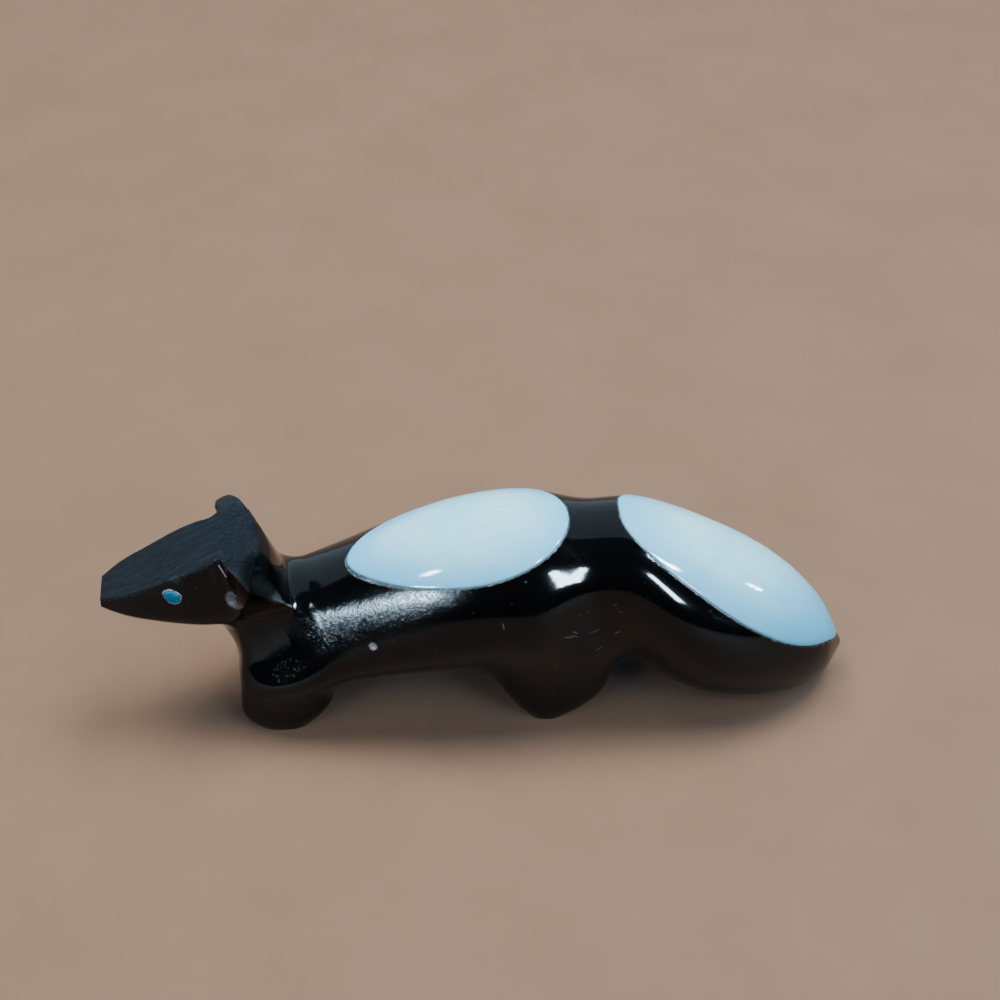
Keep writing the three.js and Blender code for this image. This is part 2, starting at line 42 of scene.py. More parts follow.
# Shape of the carving, in hundredths of its length: x from nose to tail, z from the ground
stoneForm = {
    "length": 75.5,   # mm
    "body": [   # x, top, widest height, underside, half-width, squareness
        (-35, 17.4, 11.4, 7.2, 7.6, 2.1), (-30, 19, 11.3, 6.1, 8.9, 2.1),
        (-25, 20.8, 11.5, 5.9, 9.6, 2.1), (-20, 23, 12.5, 6.1, 10.1, 2),
        (-13, 26.5, 14.7, 6.9, 10.8, 1.92), (-5.5, 29.4, 17, 7.4, 11.6, 1.95),
        (1.8, 30.8, 18.6, 7.1, 12, 1.95), (7.8, 30.5, 19.2, 7, 11.6, 2),
        (13.7, 29.2, 21.2, 7.4, 9.1, 2.2), (18.3, 29.2, 21.4, 7.4, 9.3, 2.2),
        (24.3, 27.1, 17.4, 4, 11.2, 2.2), (30.3, 24.5, 12.9, 1.2, 11.7, 2.1),
        (36.9, 20.8, 10.3, -.3, 10.5, 2.05), (42.2, 16.6, 8.2, -.3, 8.4, 2.05),
        (46.2, 12, 6.5, .9, 5.6, 2.05), (49.3, 7.2, 5.1, 2.9, 2.2, 2.05),
    ],
    "tip": (49.7, 4.9, 3.2, .02),   # x, z, rounding, gap from the last section
    "chest": (-32.7, 7, .04, .022, 3.6),   # x, z, bow across, bow upward, rounding
    "legs": [   # top, then height, centre x, half-length, side, half-width
        (16.5, [(0, -27.6, 4, 5.5, 2.9), (1.6, -27.6, 5.3, 5.6, 3.4), (4, -27, 6.2, 5.7, 3.8),
                (8, -26.5, 6.2, 5.6, 4.2), (12, -25.8, 5.9, 5.5, 4.9), (16, -24.8, 5, 4.9, 4.6)]),
        (18, [(0, 8.3, 2.7, 5.6, 2.6), (1.6, 8.7, 4.4, 5.7, 3.1), (4, 9.1, 6.3, 5.9, 3.6),
              (8, 9, 8.1, 6, 4.2), (12, 9.1, 8.5, 6, 4.4), (17, 8.5, 7.2, 5.6, 4.4)]),
    ],
    "head": [   # x, height of the flat top, its half-width, cheek half-width, jaw
        (-50.8, 21.2, 1.6, 2, 20.8), (-49.5, 21.9, 2.3, 2.6, 20.1), (-47.2, 23, 3.4, 3.8, 19.3),
        (-43.9, 24.5, 4, 4.7, 18.2), (-39.9, 26.4, 4.5, 5.6, 17.3), (-36.6, 27.7, 4.6, 6, 16.7),
        (-33.3, 28.9, 4.2, 5.8, 16.4), (-29.3, 29.5, 4, 5, 16.6), (-24, 29.5, 3.6, 4.2, 17.5),
    ],
    "turn": math.radians(5), "pivot": -26.7, "nose": -49.8, "headRear": -21.5,
    "cheek": dict(share=.36, taper=1.5, past=1.6),
    "crown": dict(x=-28.7, z=29.4, y=-2, bow=.034, slope=2.6, flat=4, near=.13, far=.053),
    "shoulder": dict(front=(-28.5, 9.9, 9.4), rear=(-17, 10.9, 15.4), rise=31),
    "nearEar": dict(corner=(-34.7, -4, 28.4), tip=(-30.4, -8.7, 26.5), foot=(-26.9, -6.5, 22.3),
                    crest=(-28.9, -5.4, 28.6), down=(1.1, -1.2, -7.2), under=(-.9, -.42),
                    floor=19.6, rear=-25.2, groove=((-34.9, -4.4, 31, .9), (-33.4, -7.2, 22.8, 1.2))),
    "farEar": dict(root=(-32.6, 3.4, 25.7, 3.1), tip=(-32.1, 8, 27.4, 1.9), foot=(-28.8, 5, 20, 1.3),
                   groove=((-35.6, 5.2, 30, 1.1), (-34.5, 7.1, 22.8, 1.35))),
    "fillet": dict(ear=1.6, earRoot=1.1, earUnder=.5, earRear=1.2, groove=.6, headRear=4, leg=3.2,
                   legTop=4, shoulder=.9, throat=6.2, midThroat=14, nape=2.4),
    "throat": dict(reach=5, low=12, height=10.5),   # where the nape's fillet takes over
    "square": dict(leg=2.5, jaw=2.4),
    "pace": dict(leg=.8, head=.9, crownTop=.88, crownRear=.36),   # brings a field near to a true distance
    "ceiling": 33.0,   # above the highest point
}
unit = stoneForm["length"] / 100


def profile(rows, column):   # natural cubic spline through one column, level beyond its ends
    x = np.array([row[0] for row in rows], float)
    y = np.array([row[column] for row in rows], float)
    h = np.diff(x)
    n = len(x)
    matrix, right = np.eye(n), np.zeros(n)
    for i in range(1, n - 1):
        matrix[i, i - 1:i + 2] = h[i - 1], 2 * (h[i - 1] + h[i]), h[i]
        right[i] = 6 * ((y[i + 1] - y[i]) / h[i] - (y[i] - y[i - 1]) / h[i - 1])
    bend = np.linalg.solve(matrix, right)

    def at(value):
        v = np.clip(value, x[0], x[-1])
        i = np.clip(np.searchsorted(x, v, side="right") - 1, 0, n - 2)
        back, ahead, gap = x[i + 1] - v, v - x[i], h[i]
        return ((bend[i] * back ** 3 + bend[i + 1] * ahead ** 3) / (6 * gap)
                + (y[i] / gap - bend[i] * gap / 6) * back + (y[i + 1] / gap - bend[i + 1] * gap / 6) * ahead)
    return at


def profiles(rows):
    return [profile(rows, column) for column in range(1, len(rows[0]))]


bodyAt = profiles(stoneForm["body"])
headAt = profiles(stoneForm["head"])
legAt = [(top, profiles(rows)) for top, rows in stoneForm["legs"]]


def join(a, b, radius):   # union with a fillet; fields are negative in the stone
    overlap = np.maximum(radius - np.abs(a - b), 0)
    return np.minimum(a, b) - overlap ** 2 / (4 * radius)


def cut(a, b, radius):
    return -join(-a, -b, radius)


def oval(y, z, halfWidth, halfHeight, power):
    reach = np.hypot(y, z) + 1e-9
    share = (np.abs(y) / halfWidth) ** power + (np.abs(z) / halfHeight) ** power
    return reach * (1 - 1 / (share ** (1 / power) + 1e-9))


def cone(x, y, z, a, b):
    d = np.subtract(b[:3], a[:3])
    t = np.clip(((x - a[0]) * d[0] + (y - a[1]) * d[1] + (z - a[2]) * d[2]) / (d @ d), 0, 1)
    reach = np.sqrt((x - a[0] - t * d[0]) ** 2 + (y - a[1] - t * d[1]) ** 2 + (z - a[2] - t * d[2]) ** 2)
    return reach - a[3] - (b[3] - a[3]) * t


def bodyField(x, y, z):
    tipX, tipZ, rounding, gap = stoneForm["tip"]
    inside = np.minimum(x, tipX - gap)
    close = np.minimum((tipX - inside) / rounding, 1)
    share = np.sqrt(1 - (1 - close) ** 2)
    top, widest, under, half, power = [at(inside) for at in bodyAt]
    rise = z - tipZ - share * (widest - tipZ)
    section = oval(y, rise, half * share, np.where(rise > 0, top - widest, widest - under) * share, power)
    chestX, chestZ, bow, sweep, rounding = stoneForm["chest"]
    front = chestX - x + bow * y ** 2 + sweep * (z - chestZ) ** 2
    return cut(np.maximum(section, x - tipX), front, rounding)


def legField(top, columns, x, y, z):
    centre, halfLength, side, halfWidth = [at(np.minimum(z, top)) for at in columns]
    squash = halfLength / halfWidth
    power = stoneForm["square"]["leg"]
    section = oval(x - centre, (np.abs(y) - side) * squash, halfLength, halfLength, power)
    section = stoneForm["pace"]["leg"] * section / np.sqrt(np.maximum(squash, 1))
    return cut(section, z - top, stoneForm["fillet"]["legTop"])


def toHead(x, y, turn=stoneForm["turn"]):
    c, s, pivot = math.cos(turn), math.sin(turn), stoneForm["pivot"]
    return (x - pivot) * c + y * s + pivot, -(x - pivot) * s + y * c


def plane(x, y, z, point, normal):
    n = np.array(normal, float) / np.linalg.norm(normal)
    return n[0] * (x - point[0]) + n[1] * (y - point[1]) + n[2] * (z - point[2])


def nearEar(x, y, z):
    ear, fillet = stoneForm["nearEar"], stoneForm["fillet"]
    edge = np.subtract(ear["tip"], ear["corner"])
    ridge = np.subtract(ear["foot"], ear["tip"])
    face = -np.cross(edge, ear["down"])
    across, down = ear["under"]
    under = (-(across * ridge[1] + down * ridge[2]) / ridge[0], across, down)
    back = np.cross(ridge, np.subtract(ear["crest"], ear["tip"]))
    wedge = cut(plane(x, y, z, ear["corner"], face), plane(x, y, z, ear["foot"], under), fillet["earUnder"])
    wedge = np.maximum(wedge, plane(x, y, z, ear["tip"], back))
    wedge = np.maximum(np.maximum(wedge, y), ear["floor"] - z)
    return cut(wedge, x - ear["rear"], fillet["earRear"])


def crownTop(along, across, z, roof):
    crown = stoneForm["crown"]
    droop = np.where(across < 0, crown["near"], crown["far"])
    above = z - roof + droop * np.maximum(np.abs(across) - crown["flat"], 0) ** 2
    return stoneForm["pace"]["crownTop"] * above


def crownRear(along, across, z):
    crown = stoneForm["crown"]
    bowed = along - crown["x"] + crown["bow"] * (across - crown["y"]) ** 2
    return stoneForm["pace"]["crownRear"] * (z - crown["z"] + crown["slope"] * bowed)


def headField(x, y, z):
    fillet, cheekForm = stoneForm["fillet"], stoneForm["cheek"]
    along, across = toHead(x, y)
    roof, roofHalf, cheek, jaw = [at(along) for at in headAt]
    half = (roof - jaw) * cheekForm["share"]
    rise = z - jaw - half
    under = oval(across, rise * cheek / half, cheek, cheek, stoneForm["square"]["jaw"])
    share = np.clip(rise / (roof - jaw - half), 0, cheekForm["past"])
    side = np.abs(across) - cheek + (cheek - roofHalf) * share ** cheekForm["taper"]
    field = stoneForm["pace"]["head"] * np.where(rise > 0, side, under)
    field = np.maximum(field, stoneForm["nose"] - along)
    field = cut(field, along - stoneForm["headRear"], fillet["headRear"])
    ear = stoneForm["farEar"]
    front, rear, foot = [cone(along, across, z, ear[start], ear[end])
                         for start, end in (("root", "tip"), ("tip", "foot"), ("root", "foot"))]
    field = join(field, join(join(front, rear, fillet["ear"]), foot, fillet["ear"]), fillet["earRoot"])
    field = join(field, nearEar(along, across, z), fillet["earRoot"])
    for side in ("nearEar", "farEar"):
        field = cut(field, -cone(along, across, z, *stoneForm[side]["groove"]), fillet["groove"])
    return np.maximum(field, np.maximum(crownTop(along, across, z, roof), crownRear(along, across, z)))


def shoulderField(x, y, z):   # slanted flank from the shoulder's edge up to the back
    form = stoneForm["shoulder"]
    edge = np.subtract(form["rear"], form["front"])
    side, up = math.cos(math.radians(form["rise"])), math.sin(math.radians(form["rise"]))
    normal = (-(edge[1] * side + edge[2] * up) / edge[0], side, up)
    return plane(x, np.abs(y), z, form["front"], normal)


def stone(x, y, z):
    fillet, blend = stoneForm["fillet"], stoneForm["throat"]
    field = bodyField(x, y, z)
    for top, columns in legAt:
        field = join(field, legField(top, columns, x, y, z), fillet["leg"])
    field = cut(field, shoulderField(x, y, z), fillet["shoulder"])
    t = np.clip((z - blend["low"]) / blend["height"], 0, 1)
    behind = t * t * (3 - 2 * t)
    wider = (fillet["midThroat"] - fillet["throat"]) / (1 + (y / blend["reach"]) ** 2) ** 2
    throat = fillet["throat"] + wider
    field = join(field, headField(x, y, z), throat + (fillet["nape"] - throat) * behind)
    return np.maximum(field, -z)


# Inlay outlines seen from above, in the same hundredths
inlayForm = {
    "back_inlay": dict(x=-3.45, halfLength=14.2, halfWidth=8.4, full=.25, blunt=0, shift=-1),
    "tail_inlay": dict(x=33.4, halfLength=15.4, halfWidth=9.4, full=0, blunt=.3, shift=1.8),
    "thickness": 1.6, "gap": .3, "grown": .19, "proud": .12, "under": .3, "edge": .16, "edgeDrop": .13,   # mm
    "turns": 320, "rings": 40, "centre": .02,
    "edgeRings": (.75, .5, .3, .14, .04, 0), "wallRings": (.5, 1), "floorRings": (.85, .6, .3, .02),
    "wideSeam": dict(turn=3.65, spread=.5, extra=.24),   # where the back inlay stops short of its pocket
}


def wholeTurn(count):
    return np.linspace(0, 2 * math.pi, count, endpoint=False)


def outline(form, turn):
    c, s = np.cos(turn), np.sin(turn)
    side = form["halfWidth"] * np.abs(s) ** (1 + form["blunt"] * c) * (1 + form["full"] * c)
    return form["x"] + form["halfLength"] * c, np.sign(s) * side + form["shift"] * ((1 - c) / 2) ** 3


def slope(field, point, step=.02):   # unit normals of a field at points of shape (n, 3)
    found = [field(*(point + step * axis).T) - field(*(point - step * axis).T) for axis in np.eye(3)]
    found = np.stack(found, 1)
    return found / (np.linalg.norm(found, axis=1)[:, None] + 1e-12)


def halve(isLow, low, high, count):   # closes in on the place between low and high where isLow ends
    for _ in range(count):
        middle = (low + high) / 2
        deep = isLow(middle)
        low, high = np.where(deep, middle, low), np.where(deep, high, middle)
    return low, high


def surfaceHeight(x, y):   # height of the bare stone, from above
    low, high = halve(lambda z: stone(x, y, z) < 0, bodyAt[1](x), np.full(x.shape, stoneForm["ceiling"]), 30)
    return (low + high) / 2


def onStone(x, y, rise=0.0):   # points a rise in mm above the surface, and the normals there
    place = np.stack([x, y, surfaceHeight(x, y)], 1)
    normal = slope(stone, place)
    return place + normal * rise / unit, normal


class InlayMap:   # distance along the stone from an outline in mm, below zero inside it
    cell, margin, turns, steepest = .2, 1.4, 420, .1

    def __init__(self, form):
        turn = wholeTurn(self.turns)
        x, y = (value * unit for value in outline(form, turn))
        self.start = np.array([x.min(), y.min()]) - self.margin
        count = np.ceil((np.array([x.max(), y.max()]) + self.margin - self.start) / self.cell).astype(int) + 1
        lines = [self.start[d] + self.cell * np.arange(count[d]) for d in (0, 1)]
        px, py = np.meshgrid(*lines, indexing="ij")
        best = np.full(px.shape, np.inf)
        odd = np.zeros(px.shape, bool)
        for ax, ay, bx, by in zip(x, y, np.roll(x, -1), np.roll(y, -1)):
            dx, dy = bx - ax, by - ay
            t = np.clip(((px - ax) * dx + (py - ay) * dy) / (dx ** 2 + dy ** 2), 0, 1)
            best = np.minimum(best, (px - ax - t * dx) ** 2 + (py - ay - t * dy) ** 2)
            if ay != by:
                odd ^= ((ay > py) != (by > py)) & (px < ax + (py - ay) * dx / dy)
        flat = np.where(odd, -1, 1) * np.sqrt(best)
        _, normal = onStone(px.ravel() / unit, py.ravel() / unit)
        normal = normal.reshape(*px.shape, 3)
        gx, gy = np.gradient(flat)
        across = (normal[..., 0] * gx + normal[..., 1] * gy) / (np.hypot(gx, gy) + 1e-9)
        shorter = np.sqrt(np.maximum(1 - across ** 2, self.steepest))
        self.table = np.concatenate([normal, (flat / shorter)[..., None], shorter[..., None]], -1)

    def __call__(self, x, y):   # columns: normal x, y, z, distance, share of it seen from above
        u = (x * unit - self.start[0]) / self.cell
        v = (y * unit - self.start[1]) / self.cell
        i = np.clip(np.floor(u).astype(int), 0, self.table.shape[0] - 2)
        j = np.clip(np.floor(v).astype(int), 0, self.table.shape[1] - 2)
        u, v = np.clip(u - i, 0, 1)[..., None], np.clip(v - j, 0, 1)[..., None]
        near = self.table[i, j] * (1 - v) + self.table[i, j + 1] * v
        return near * (1 - u) + (self.table[i + 1, j] * (1 - v) + self.table[i + 1, j + 1] * v) * u


inlayMaps = {name: InlayMap(inlayForm[name]) for name in ("back_inlay", "tail_inlay")}
print("inlay maps made")

eyeForm = {
    "along": -40.3, "z": 23.7, "widest": 9.0,   # hundredths, in the turned head
    "radius": .75, "socket": .78, "depth": 1.1, "proud": .1, "under": .2, "dome": .11,   # mm
    "lean": .55, "oval": .12, "uneven": .02, "turns": 64, "rings": 10,
    "centre": .05, "bevel": .86, "bevelDrop": .16,
    "bevelRings": (.92, .96, .985, 1), "floorRings": (1, .5, .05),
}


def eyeSeat(side):   # centre on the cheek and outward normal
    def at(across):
        return np.array([*toHead(eyeForm["along"], side * across, -stoneForm["turn"]), eyeForm["z"]])

    low, _ = halve(lambda across: stone(*at(across)[:, None])[0] < 0, 0, eyeForm["widest"], 40)
    return at(low), slope(stone, at(low)[None])[0]


eyeSeats = {"left_eye": eyeSeat(-1), "right_eye": eyeSeat(1)}

# Breaks in the surface: place on it, radius and depth in mm
chipForm = {
    "ear": dict(at=(-24.25, -4.95, 17.45), radius=.6, depth=.16),
    "flank": dict(at=(-10.97, -7.29, 12.98), radius=.4, depth=.1),
}
for chip in chipForm.values():
    spot = np.array([chip["at"]]) / unit
    for _ in range(3):
        spot = spot - slope(stone, spot) * stone(*spot.T)[:, None]
    chip["ball"] = (chip["radius"] ** 2 + chip["depth"] ** 2) / (2 * chip["depth"]) / unit
    chip["centre"] = (spot + slope(stone, spot) * (chip["ball"] - chip["depth"] / unit))[0]

cutReach = 4   # no pocket, socket or chip goes deeper, in hundredths


def breakWave(x, y, z):   # unevenness of a broken surface
    return .02 * np.sin(5.1 * x + 3.7 * z) * np.sin(4.3 * y - 2.9 * x) + .015 * np.sin(9.7 * y + 8.3 * z)


def dressed(x, y, z):   # the stone with its pockets, eye sockets and chips
    field = stone(x, y, z)
    near = np.nonzero(np.abs(field) < cutReach)
    x, y, z, skin = x[near], y[near], z[near], field[near]
    result = skin
    widest = bodyAt[1](x)
    depth = (inlayForm["thickness"] + inlayForm["under"]) / unit
    for inlayMap in inlayMaps.values():
        normal = inlayMap(x, y)
        far = inlayMap(x - normal[..., 0] * skin, y - normal[..., 1] * skin)[..., 3]
        wall = (far - inlayForm["gap"]) / unit
        result = np.maximum(result, -np.maximum(np.maximum(wall, -skin - depth), widest - z))
    for centre, normal in eyeSeats.values():
        dx, dy, dz = x - centre[0], y - centre[1], z - centre[2]
        rise = dx * normal[0] + dy * normal[1] + dz * normal[2]
        wall = np.sqrt(np.maximum(dx ** 2 + dy ** 2 + dz ** 2 - rise ** 2, 0)) - eyeForm["socket"] / unit
        result = np.maximum(result, -np.maximum(wall, -rise - (eyeForm["depth"] + eyeForm["under"]) / unit))
    for chip in chipForm.values():
        cx, cy, cz = chip["centre"]
        bite = chip["ball"] + breakWave(x, y, z) - np.sqrt((x - cx) ** 2 + (y - cy) ** 2 + (z - cz) ** 2)
        result = np.maximum(result, bite)
    field[near] = result
    return field


meshForm = {
    "step": .27, "low": (-38.6, -10.2, -.7), "high": (38.6, 10.2, 24.3),   # mm
    "below": .4, "flat": .03, "inset": .3, "normalStep": .03, "passes": 6, "endShare": .02, "pull": .03,
}


def contour(field, axes):   # dual contouring: a quad for every grid edge that crosses the surface
    value = field(*np.meshgrid(*axes, indexing="ij"))
    inside = value < 0
    cellCounts = tuple(len(axis) - 1 for axis in axes)
    share = meshForm["endShare"]
    found = []
    for d in range(3):
        cell = np.stack(np.nonzero(np.diff(inside, axis=d)), 1)
        ahead = cell.copy()
        ahead[:, d] += 1
        a = np.stack([axes[k][cell[:, k]] for k in range(3)], 1)
        b = a.copy()
        b[:, d] = axes[d][ahead[:, d]]
        va, vb = value[tuple(cell.T)], value[tuple(ahead.T)]
        flip = va < 0
        for _ in range(meshForm["passes"]):
            p = a + (b - a) * np.clip(va / (va - vb), share, 1 - share)[:, None]
            vp = field(*p.T)
            left = (vp < 0) == (va < 0)
            a, va = np.where(left[:, None], p, a), np.where(left, vp, va)
            b, vb = np.where(left[:, None], b, p), np.where(left, vb, vp)
        p = a + (b - a) * (va / (va - vb))[:, None]
        one, two = (d + 1) % 3, (d + 2) % 3
        around = []
        for back, down in ((1, 1), (0, 1), (0, 0), (1, 0)):
            other = cell.copy()
            other[:, one] -= back
            other[:, two] -= down
            around.append(np.ravel_multi_index(other.T, cellCounts))
        around = np.stack(around, 1)
        around[~flip] = around[~flip][:, ::-1]
        found.append((around, p, slope(field, p)))
    cells = np.unique(np.concatenate([around.ravel() for around, _, _ in found]))
    matrix, right = np.zeros((len(cells), 3, 3)), np.zeros((len(cells), 3))
    total, count = np.zeros((len(cells), 3)), np.zeros(len(cells))
    quads = []
    for around, p, normal in found:
        index = np.searchsorted(cells, around)
        quads.append(index)
        outer = normal[:, :, None] * normal[:, None, :]
        along = normal * (normal * p).sum(1)[:, None]
        for corner in range(4):
            for sums, term in ((matrix, outer), (right, along), (total, p), (count, 1)):
                np.add.at(sums, index[:, corner], term)
    weight = meshForm["pull"] * count
    matrix += np.eye(3) * weight[:, None, None]
    right += total / count[:, None] * weight[:, None]
    points = np.linalg.solve(matrix, right[..., None])[..., 0]
    place = np.unravel_index(cells, cellCounts)
    for k in range(3):
        points[:, k] = np.clip(points[:, k], axes[k][place[k]], axes[k][place[k] + 1])
    return points, np.concatenate(quads)


def makeObject(name, points, faces, normals=None, values=None):   # points in mm
    mesh = bpy.data.meshes.new(name)
    mesh.from_pydata((np.asarray(points) * mm).tolist(), [], faces)
    mesh.polygons.foreach_set("use_smooth", np.ones(len(mesh.polygons), bool))
    for label, value in (values or {}).items():
        mesh.attributes.new(label, "FLOAT", "POINT").data.foreach_set("value", value.astype(np.float32))
    if normals is not None:
        mesh.normals_split_custom_set(normals.tolist())
    made = bpy.data.objects.new(name, mesh)
    bpy.context.scene.collection.objects.link(made)
    return made


# The carved stone
stride = meshForm["step"] / unit
axes = [np.arange(low / unit, high / unit, stride) for low, high in zip(meshForm["low"], meshForm["high"])]
axes[2] = axes[2] - axes[2][np.argmin(np.abs(axes[2]))] - meshForm["below"] * stride
points, quads = contour(dressed, axes)
points[np.abs(points[:, 2]) < meshForm["flat"], 2] = 0
centres = points[quads].mean(1)
inner = points[quads] + (centres[:, None] - points[quads]) * meshForm["inset"]
corners = slope(dressed, inner.reshape(-1, 3), meshForm["normalStep"])
print("stone mesh:", len(points), "points,", len(quads), "quads")

zoneForm = {   # hundredths
    "thick": .12, "earThick": 1.2, "earFront": -35, "earSide": 4, "spare": .05, "most": 9, "falling": 3,
    "facetPace": 1.4, "crestPace": 1.2, "crestRear": 3, "crestLow": 17, "crestFoot": 26.5, "footPace": .5,
}


def zone(first, second, thick, pace):   # how far a point on the first plane lies inside the second
    inside = np.minimum(-second * pace + zoneForm["spare"], zoneForm["most"])
    return np.where(np.abs(first) < thick, inside, -np.abs(first) * zoneForm["falling"])


def stoneValues(points):   # how far each point lies inside the zones that the finish follows, in mm
    form = zoneForm
    x, y, z = points.T
    along, across = toHead(x, y)
    top = crownTop(along, across, z, headAt[0](along))
    rear = crownRear(along, across, z)
    ahead = stoneForm["headRear"] - along
    farEar = (across > form["earSide"]) & (along > form["earFront"])
    facet = zone(top, rear, np.where(farEar, form["earThick"], form["thick"]), form["facetPace"])
    facet = np.where(ahead > 0, facet, -form["most"])
    crest = zone(rear, top, form["thick"], form["crestPace"])
    crest = np.minimum(crest, (z - form["crestFoot"]) * form["footPace"])
    crest = np.where((ahead > -form["crestRear"]) & (z > form["crestLow"]), crest, -form["most"])
    return {"facet": facet * unit, "crest": crest * unit}


stoneObject = makeObject("carvedStone", points * unit, quads.tolist(), corners, stoneValues(points))
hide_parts("stone_body")
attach(stoneObject, "root")


def loft(name, rows, capped, shares=None):   # skin over closed rows of points in mm, the first row innermost
    turns = len(rows[0])
    here = np.arange(turns)
    ahead = (here + 1) % turns
    faces = []
    for row in range(len(rows) - 1 if capped else len(rows)):
        one, two = row * turns, (row + 1) % len(rows) * turns
        faces += np.stack([two + here, two + ahead, one + ahead, one + here], 1).tolist()
    points = np.concatenate(rows)
    if capped:
        last = turns * (len(rows) - 1)
        first, final = np.full(turns, len(points)), np.full(turns, len(points) + 1)
        faces += np.stack([first, here, ahead], 1).tolist()
        faces += np.stack([final, last + ahead, last + here], 1).tolist()
        points = np.concatenate([points, [rows[0].mean(0), rows[-1].mean(0)]])
    values = None if shares is None else {"share": np.concatenate([np.repeat(shares, turns), [0, 1]])}
    return makeObject(name, points, faces, None, values)


def setOut(node, turn, far):   # an inlay's outline moved outward by far mm along the stone
    x, y = outline(inlayForm[node], turn)
    dx, dy = np.roll(x, -1) - np.roll(x, 1), np.roll(y, -1) - np.roll(y, 1)
    step = far / unit * inlayMaps[node](x, y)[:, 4] / np.hypot(dx, dy)
    return x + dy * step, y - dx * step


def inlayReach(node, turn):   # how far an inlay is grown past its outline, in mm
    wide = inlayForm["wideSeam"]
    short = wide["extra"] * np.exp(-((turn - wide["turn"]) / wide["spread"]) ** 2)
    return inlayForm["grown"] - (short if node == "back_inlay" else 0 * turn)


def makeInlay(name, node):
    form = inlayForm[node]
    turn = wholeTurn(inlayForm["turns"])
    x, y = setOut(node, turn, inlayReach(node, turn))
    middleX, middleY = form["x"], form["shift"] / 8   # the outline is shifted by an eighth there

    def ring(share, rise=0.0):
        return onStone(middleX + (x - middleX) * share, middleY + (y - middleY) * share, rise)

    lap = inlayForm["edge"] / unit / form["halfWidth"]
    shares = [*np.linspace(inlayForm["centre"], 1 - lap, inlayForm["rings"])]
    shares += [*(1 - lap * np.array(inlayForm["edgeRings"]))]
    rows = []
    for share in shares:
        deep = max((share - 1 + lap) / lap, 0)
        drop = inlayForm["edgeDrop"] * (1 - math.sqrt(max(1 - deep ** 2, 0)))
        place, normal = ring(share, inlayForm["proud"] - drop)
        rows.append(place * unit)
    for deep in inlayForm["wallRings"]:
        rows.append(place * unit - normal * inlayForm["thickness"] * deep)
    for share in inlayForm["floorRings"]:
        place, normal = ring(share)
        rows.append(place * unit - normal * inlayForm["thickness"])
    return loft(name, rows, True, np.minimum(shares + [1] * (len(rows) - len(shares)), 1))


inlays = {}
for title, node in (("backShell", "back_inlay"), ("tailShell", "tail_inlay")):
    piece = makeInlay(title, node)
    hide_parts(node)
    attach(piece, "root")
    inlays[title] = piece

seamForm = {   # mm
    "turns": 900, "rings": 5, "lap": .05, "lift": .012, "sag": .05, "sagPower": .7, "wave": .03,
    "ragged": .03, "wallGap": .02, "deep": .5,
}


def seamWaves(turn):   # unevenness of the adhesive, in its height and at its outer edge
    rise = np.sin(turn * 37 + 2) * np.sin(turn * 23) + .7 * np.sin(turn * 71 + 1)
    return rise, np.sin(turn * 53) + np.sin(turn * 31 + 1) * np.sin(turn * 97)


def makeSeam(name, node):   # adhesive that fills the gap round an inlay
    form = seamForm
    turn = wholeTurn(form["turns"])
    inmost, outmost = inlayReach(node, turn) - form["lap"], inlayForm["gap"] + form["lap"]
    wave, edge = seamWaves(turn)
    rows = []
    for share in np.linspace(0, 1, form["rings"]):
        bend = math.sin(math.pi * share)
        reach = inmost + (outmost - inmost) * share + form["ragged"] * share * edge
        place, normal = onStone(*setOut(node, turn, reach))
        rise = form["lift"] - form["sag"] * bend ** form["sagPower"] - form["wave"] * bend * wave
        rows.append(place * unit + normal * rise[:, None])
    for far in (inlayForm["gap"] - form["wallGap"], inmost):
        place, normal = onStone(*setOut(node, turn, far))
        rows.append(place * unit - normal * form["deep"])
    return loft(name, rows, False)


seams = []
for title, node in (("backSeam", "back_inlay"), ("tailSeam", "tail_inlay")):
    piece = makeSeam(title, node)
    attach(piece, "root")
    seams.append(piece)


def frameOf(normal):   # two directions across a normal, the second upward
    side = np.cross((0, 0, 1), normal)
    side /= np.linalg.norm(side)
    return side, np.cross(normal, side)


def eyeOutline(seat, turn, phase, radius):   # points in mm round an eye, and the directions to them
    centre, normal = seat
    side, up = frameOf(normal)
    across = np.outer(np.cos(turn), side) + np.outer(np.sin(turn), up)
    lean = math.copysign(eyeForm["lean"], normal[1])
    uneven = eyeForm["uneven"]
    shape = 1 + eyeForm["oval"] * np.cos(2 * (turn - lean)) + uneven * np.sin(3 * turn + phase)
    shape = shape + uneven * np.sin(5 * turn)
    return centre * unit + across * (radius * shape)[:, None], across


def makeEye(name, seat, phase):
    turn = wholeTurn(eyeForm["turns"])
    radius, normal, bevel = eyeForm["radius"], seat[1], eyeForm["bevel"]
    rows = []
    for share in (*np.linspace(eyeForm["centre"], bevel, eyeForm["rings"]), *eyeForm["bevelRings"]):
        drop = eyeForm["bevelDrop"] * max(share - bevel, 0) / (1 - bevel)
        rise = eyeForm["proud"] + eyeForm["dome"] * (1 - share ** 2) - drop
        rows.append(eyeOutline(seat, turn, phase, radius * share)[0] + rise * normal)
    for share in eyeForm["floorRings"]:
        rows.append(eyeOutline(seat, turn, phase, radius * share)[0] - eyeForm["depth"] * normal)
    return loft(name, rows, True)


rimForm = {   # mm
    "outer": .89, "lap": .06, "turns": 128, "rings": 7, "crown": .05, "crownShare": 1.15, "lift": .03,
    "sink": .01, "foot": .05, "deep": .5,
    "waves": ((.025, 3, 1), (.02, 8, -1), (.015, 19, 0)),   # size, number round the eye, share of the phase
}


